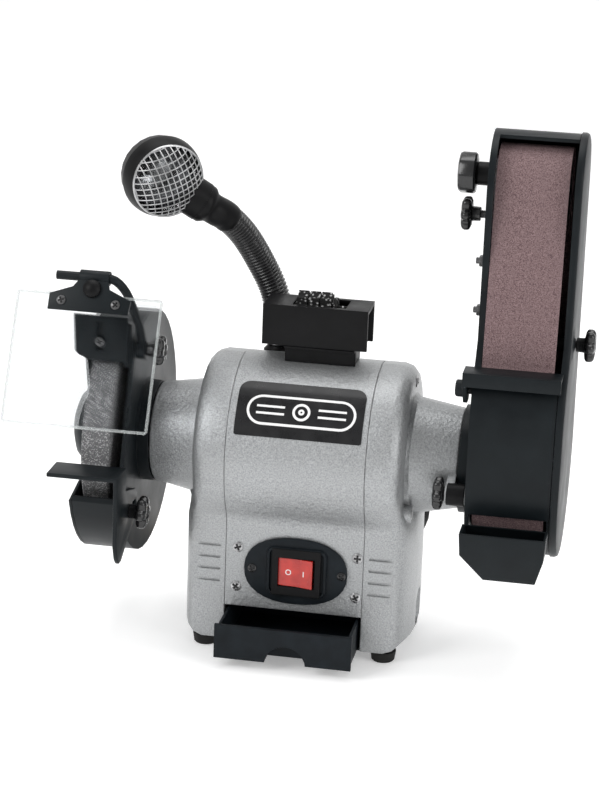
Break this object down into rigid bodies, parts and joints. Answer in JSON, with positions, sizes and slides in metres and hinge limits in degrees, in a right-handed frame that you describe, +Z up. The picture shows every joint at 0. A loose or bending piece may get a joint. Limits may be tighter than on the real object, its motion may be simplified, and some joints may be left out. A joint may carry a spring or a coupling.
{
  "type": "bench grinder",
  "caption": "Bench grinder with an abrasive wheel on one end, an upright belt sander on the other, a work lamp, an eye shield and a storage drawer.",
  "frame": {"origin": "on the bench under the middle of the machine, cord left out", "axes": "+X along the shaft towards the belt sander, +Y away from the operator, +Z up"},
  "size_m": [0.398, 0.2807, 0.3859],
  "materials": {
    "silver_paint": "hammered silver-grey enamel on cast and pressed metal",
    "black_paint": "satin black powder coat with a faint blue-green cast",
    "black_plastic": "fine-grained black moulding",
    "rubber": "soft black rubber and cord sheath",
    "steel": "turned and plated steel",
    "laminated_steel": "stacked electrical steel",
    "copper": "varnished copper wire",
    "abrasive_wheel": "grey bonded abrasive grain",
    "abrasive_belt": "brown-red abrasive grain on cloth",
    "cast_aluminium": "turned casting",
    "clear_plastic": "clear and slightly scuffed",
    "glass": "clear bulb glass",
    "red_plastic": "glossy red moulding",
    "white_plastic": "white capacitor can"
  },
  "bodies": {
    "housing": {"motor_shell": "silver_paint", "end_cap_left": "silver_paint", "end_cap_right": "silver_paint", "base_plate": "black_paint", "foot_front_left": "rubber", "foot_front_right": "rubber", "foot_rear_left": "rubber", "foot_rear_right": "rubber", "stator_core": "laminated_steel", "stator_windings": "copper", "bearing_left": "steel", "bearing_right": "steel", "capacitor": "white_plastic", "switch_plate": "black_plastic", "switch_body": "black_plastic", "dresser_seat": "black_plastic", "cord_gland": "black_plastic", "cord": "rubber", "cord_coil": "rubber", "plug": "black_plastic", "lamp_socket": "black_plastic", "gooseneck_lower": "black_plastic", "wheel_guard": "black_paint", "guard_cover": "black_paint"},
    "rotor": {"shaft": "steel", "rotor_core": "laminated_steel", "grinding_wheel": "abrasive_wheel", "flange_inner": "steel", "flange_outer": "steel", "wheel_nut": "steel", "drive_pulley": "cast_aluminium"},
    "rocker": {"rocker": "red_plastic"},
    "drawer": {"drawer": "black_plastic"},
    "arrester": {"spark_arrester": "black_paint"},
    "rest": {"tool_rest": "black_paint"},
    "rest_knob": {"tool_rest_knob": "black_plastic"},
    "shield_arm": {"shield_rod": "black_paint"},
    "shield_clamp_knob": {"shield_clamp_knob": "black_plastic"},
    "shield": {"shield_bracket": "black_paint", "eye_shield": "clear_plastic"},
    "shield_knob": {"shield_knob": "black_plastic"},
    "lamp_neck": {"gooseneck_upper": "black_plastic"},
    "lamp_head": {"lamp_hood": "black_plastic", "lamp_lens": "clear_plastic", "lamp_bulb": "glass"},
    "dresser": {"dresser_body": "black_plastic"},
    "cutters": {"dresser_cutters": "steel"},
    "arm": {"sander_arm": "black_paint", "belt": "abrasive_belt", "platen": "steel", "spark_tray": "black_paint", "tension_spring": "steel"},
    "cover": {"belt_cover": "black_paint"},
    "cover_knob": {"cover_knob": "black_plastic"},
    "carriage": {"idler_carriage": "steel"},
    "idler": {"idler_pulley": "cast_aluminium"},
    "tracking_knob": {"tracking_knob": "black_plastic"},
    "tension_knob": {"tension_knob": "black_plastic"},
    "work_rest": {"work_rest": "black_paint"},
    "arm_lock_knob": {"arm_lock_knob": "black_plastic"}
  },
  "joints": [
    {"name": "rotor_spin", "type": "hinge", "parent": "housing", "child": "rotor", "pos_m": [-0.001, 0.01305, 0.145], "axis": [1, 0, 0], "continuous": true},
    {"name": "rocker_tip", "type": "hinge", "parent": "housing", "child": "rocker", "pos_m": [0.0015, -0.03715, 0.065], "axis": [0, 0, 1], "range_deg": [0, 16]},
    {"name": "drawer_slide", "type": "slide", "parent": "housing", "child": "drawer", "axis": [0, -1, 0], "range_m": [-0.0365, 0.04]},
    {"name": "arrester_slide", "type": "slide", "parent": "housing", "child": "arrester", "axis": [0, 0, 1], "range_m": [-0.004, 0.008]},
    {"name": "rest_slide", "type": "slide", "parent": "housing", "child": "rest", "axis": [0, -1, 0], "range_m": [0, 0.014]},
    {"name": "rest_knob_turn", "type": "hinge", "parent": "housing", "child": "rest_knob", "pos_m": [-0.1177, -0.05495, 0.105], "axis": [1, 0, 0], "range_deg": [-180, 180]},
    {"name": "shield_arm_tilt", "type": "hinge", "parent": "housing", "child": "shield_arm", "pos_m": [-0.121, -0.02495, 0.217], "axis": [1, 0, 0], "range_deg": [-20, 5]},
    {"name": "shield_clamp_turn", "type": "hinge", "parent": "housing", "child": "shield_clamp_knob", "pos_m": [-0.1142, -0.02495, 0.217], "axis": [1, 0, 0], "range_deg": [-180, 180]},
    {"name": "shield_flip", "type": "hinge", "parent": "shield_arm", "child": "shield", "pos_m": [-0.146, -0.05295, 0.2735], "axis": [1, 0, 0], "range_deg": [-80, 10]},
    {"name": "shield_knob_turn", "type": "hinge", "parent": "shield", "child": "shield_knob", "pos_m": [-0.1456, -0.0613, 0.26756], "axis": [0, -0.8988, 0.4384], "range_deg": [-180, 180]},
    {"name": "lamp_neck_bend", "type": "hinge", "parent": "housing", "child": "lamp_neck", "pos_m": [-0.05137, 0.03452, 0.28131], "axis": [-0.6849, 0.7286, 0], "range_deg": [-10, 30]},
    {"name": "lamp_head_nod", "type": "hinge", "parent": "lamp_neck", "child": "lamp_head", "pos_m": [-0.077, 0.00905, 0.3145], "axis": [-0.7071, 0.7071, 0], "range_deg": [-20, 30]},
    {"name": "dresser_lift", "type": "slide", "parent": "housing", "child": "dresser", "axis": [0, 0, 1], "range_m": [0, 0.04]},
    {"name": "cutter_spin", "type": "hinge", "parent": "dresser", "child": "cutters", "pos_m": [-0.001, 0.01105, 0.2484], "axis": [1, 0, 0], "continuous": true},
    {"name": "arm_tilt", "type": "hinge", "parent": "housing", "child": "arm", "pos_m": [0.1195, 0.01305, 0.145], "axis": [1, 0, 0], "range_deg": [-90, 0]},
    {"name": "cover_pull", "type": "slide", "parent": "arm", "child": "cover", "axis": [1, 0, 0], "range_m": [0, 0.03]},
    {"name": "cover_knob_turn", "type": "hinge", "parent": "cover", "child": "cover_knob", "pos_m": [0.185, 0.01305, 0.236], "axis": [1, 0, 0], "range_deg": [-180, 180]},
    {"name": "carriage_slide", "type": "slide", "parent": "arm", "child": "carriage", "axis": [0, 0, 1], "range_m": [-0.01, 0], "deforming": ["tension_spring"]},
    {"name": "idler_spin", "type": "hinge", "parent": "carriage", "child": "idler", "pos_m": [0.149, 0.01305, 0.348], "axis": [1, 0, 0], "continuous": true},
    {"name": "tracking_turn", "type": "hinge", "parent": "carriage", "child": "tracking_knob", "pos_m": [0.103, 0.01305, 0.353], "axis": [1, 0, 0], "range_deg": [-180, 180]},
    {"name": "tension_turn", "type": "hinge", "parent": "carriage", "child": "tension_knob", "pos_m": [0.111, 0.01305, 0.3243], "axis": [1, 0, 0], "range_deg": [-180, 180]},
    {"name": "work_rest_tilt", "type": "hinge", "parent": "arm", "child": "work_rest", "pos_m": [0.116, -0.03695, 0.212], "axis": [1, 0, 0], "range_deg": [0, 20]},
    {"name": "arm_lock_turn", "type": "hinge", "parent": "housing", "child": "arm_lock_knob", "pos_m": [0.1042, -0.03695, 0.134], "axis": [1, 0, 0], "range_deg": [-180, 180]}
  ],
  "couplings": [
    {"joint": "idler_spin", "follows": "rotor_spin", "ratio": 2.1898}
  ]
}
